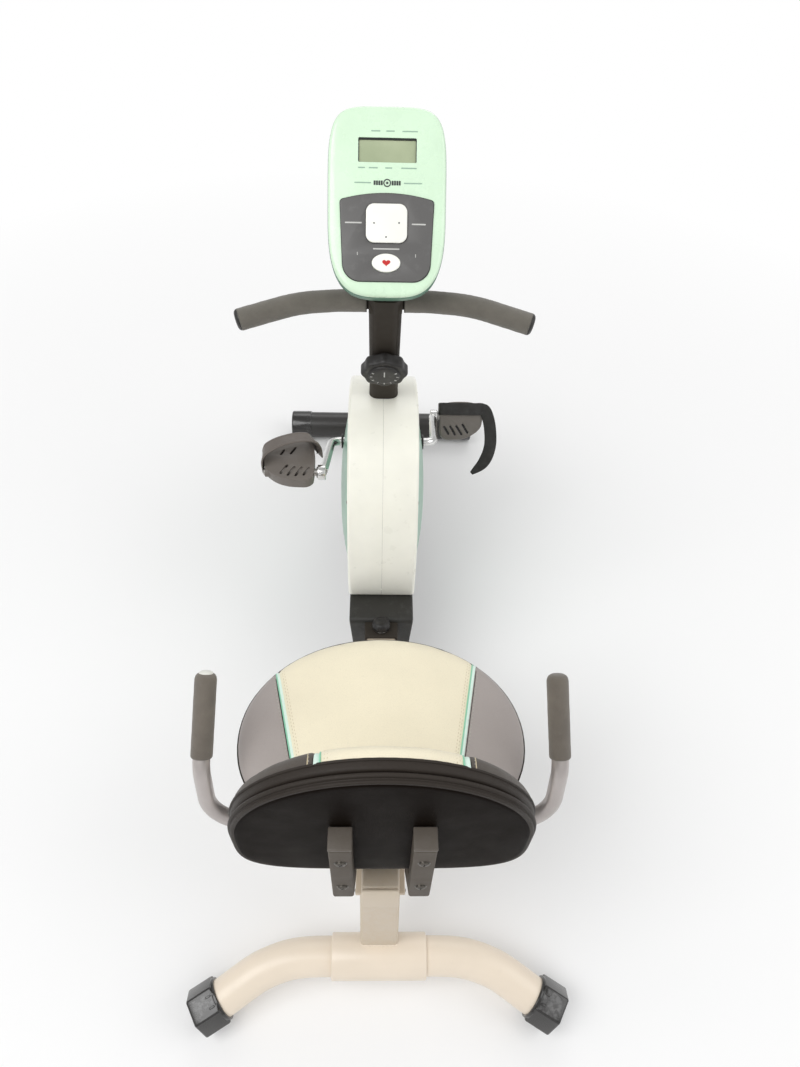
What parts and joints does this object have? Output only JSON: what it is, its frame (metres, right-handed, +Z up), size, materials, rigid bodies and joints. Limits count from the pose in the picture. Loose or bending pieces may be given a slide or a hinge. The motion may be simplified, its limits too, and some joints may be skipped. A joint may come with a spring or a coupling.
{
  "type": "recumbent exercise bike",
  "caption": "Recumbent exercise bike with enclosed flywheel drive, crank and pedals, sliding padded seat with backrest and side handles, and console on an upright.",
  "frame": {"origin": "on the floor under the middle of the bike's bounding box", "axes": "+Z up, +Y from the rear stabiliser to the front stabiliser, +X to the seated rider's right"},
  "size_m": [0.6268, 1.4657, 1.0595],
  "materials": {
    "cream_paint": "satin",
    "tan_paint": "satin",
    "graphite_paint": "satin",
    "black_paint": "satin",
    "black_plastic": "matte",
    "charcoal_plastic": "matte",
    "ivory_plastic": "gloss",
    "teal_plastic": "gloss",
    "mint_plastic": "gloss",
    "keypad_plastic": "satin",
    "white_plastic": "satin",
    "display_glass": "gloss",
    "board": "satin",
    "foam": "matte",
    "rubber": "matte",
    "crank_chrome": "polished",
    "steel": "brushed",
    "iron": "machined",
    "silver_paint": "satin metallic",
    "pedal_plastic": "matte",
    "seat_vinyl": "satin",
    "back_vinyl": "satin",
    "wheel_plastic": "matte"
  },
  "bodies": {
    "frame": {"main_frame": "graphite_paint", "seat_rail": "tan_paint", "rear_leg": "tan_paint", "rear_stabilizer": "cream_paint", "rear_foot_left": "black_plastic", "rear_foot_right": "black_plastic", "front_stabilizer": "black_paint", "front_foot_left": "black_plastic", "front_foot_right": "black_plastic", "shroud_left": "ivory_plastic", "shroud_right": "ivory_plastic", "side_cover_left": "teal_plastic", "side_cover_right": "teal_plastic", "lower_cover": "charcoal_plastic", "upright": "graphite_paint", "handlebar": "graphite_paint", "handlebar_grip_left": "foam", "handlebar_grip_right": "foam", "handlebar_plug_left": "black_plastic", "handlebar_plug_right": "black_plastic", "console_back": "teal_plastic", "console_face": "mint_plastic", "keypad_panel": "keypad_plastic", "lcd_window": "display_glass", "console_board": "board", "pulse_sensor": "white_plastic", "drive_belt": "rubber", "crank_bearing_left": "steel", "crank_bearing_right": "steel", "flywheel_axle": "steel", "resistance_cable": "rubber"},
    "crank_set": {"crank": "crank_chrome", "drive_pulley": "black_plastic", "pedal_spindle_left": "steel", "pedal_spindle_right": "steel"},
    "left_pedal": {"pedal_left": "pedal_plastic", "pedal_strap_left": "rubber"},
    "right_pedal": {"pedal_right": "pedal_plastic", "pedal_strap_right": "rubber"},
    "flywheel_set": {"flywheel": "iron"},
    "brake": {"magnet_arm": "steel", "brake_magnet": "iron"},
    "tension_knob": {"resistance_knob": "black_plastic"},
    "rail_clamp": {"rail_knob": "black_plastic"},
    "seat": {"seat_carriage": "graphite_paint", "seat_board": "black_plastic", "seat_cushion": "seat_vinyl", "backrest_frame": "graphite_paint", "backrest_board": "charcoal_plastic", "backrest_cushion": "back_vinyl", "backrest_plug_left": "black_plastic", "backrest_plug_right": "black_plastic", "seat_handle": "silver_paint", "seat_grip_left": "foam", "seat_grip_right": "foam"},
    "seat_clamp": {"seat_lock_knob": "black_plastic"},
    "wheel_left": {"transport_wheel_left": "wheel_plastic"},
    "wheel_right": {"transport_wheel_right": "wheel_plastic"},
    "console_button": {"button_pad": "white_plastic"}
  },
  "joints": [
    {"name": "flywheel_spin", "type": "hinge", "parent": "frame", "child": "flywheel_set", "pos_m": [0, 0.392, 0.262], "axis": [1, 0, 0], "continuous": true},
    {"name": "crank_spin", "type": "hinge", "parent": "frame", "child": "crank_set", "pos_m": [0, 0.255, 0.404], "axis": [1, 0, 0], "continuous": true},
    {"name": "pedal_left_spin", "type": "hinge", "parent": "crank_set", "child": "left_pedal", "pos_m": [-0.1735, 0.10415, 0.47085], "axis": [1, 0, 0], "continuous": true},
    {"name": "pedal_right_spin", "type": "hinge", "parent": "crank_set", "child": "right_pedal", "pos_m": [0.1735, 0.40585, 0.33715], "axis": [1, 0, 0], "continuous": true},
    {"name": "tension_knob_turn", "type": "hinge", "parent": "frame", "child": "tension_knob", "pos_m": [0, 0.16714, 0.68033], "axis": [0, -0.9385, -0.3453], "range_deg": [0, 300]},
    {"name": "brake_swing", "type": "hinge", "parent": "frame", "child": "brake", "pos_m": [-0.02, 0.447, 0.33], "axis": [1, 0, 0], "range_deg": [0, 6]},
    {"name": "seat_slide", "type": "slide", "parent": "frame", "child": "seat", "axis": [0, 0.9744, -0.225], "range_m": [-0.05, 0.12]},
    {"name": "seat_lock_turn", "type": "hinge", "parent": "seat", "child": "seat_clamp", "pos_m": [0, -0.33, 0.26144], "axis": [1, 0, 0], "range_deg": [0, 270]},
    {"name": "rail_clamp_turn", "type": "hinge", "parent": "frame", "child": "rail_clamp", "pos_m": [0, -0.09, 0.20603], "axis": [0, 0.225, 0.9744], "range_deg": [0, 270]},
    {"name": "wheel_left_spin", "type": "hinge", "parent": "frame", "child": "wheel_left", "pos_m": [-0.223, 0.708, 0.0255], "axis": [1, 0, 0], "continuous": true},
    {"name": "wheel_right_spin", "type": "hinge", "parent": "frame", "child": "wheel_right", "pos_m": [0.223, 0.708, 0.0255], "axis": [1, 0, 0], "continuous": true},
    {"name": "button_press", "type": "slide", "parent": "frame", "child": "console_button", "axis": [0, 0.7071, -0.7071], "range_m": [0, 0.001], "stiffness_N_per_m": 800}
  ],
  "couplings": [
    {"joint": "crank_spin", "follows": "flywheel_spin", "ratio": 0.23529},
    {"joint": "brake_swing", "follows": "tension_knob_turn", "ratio": 0.02}
  ]
}
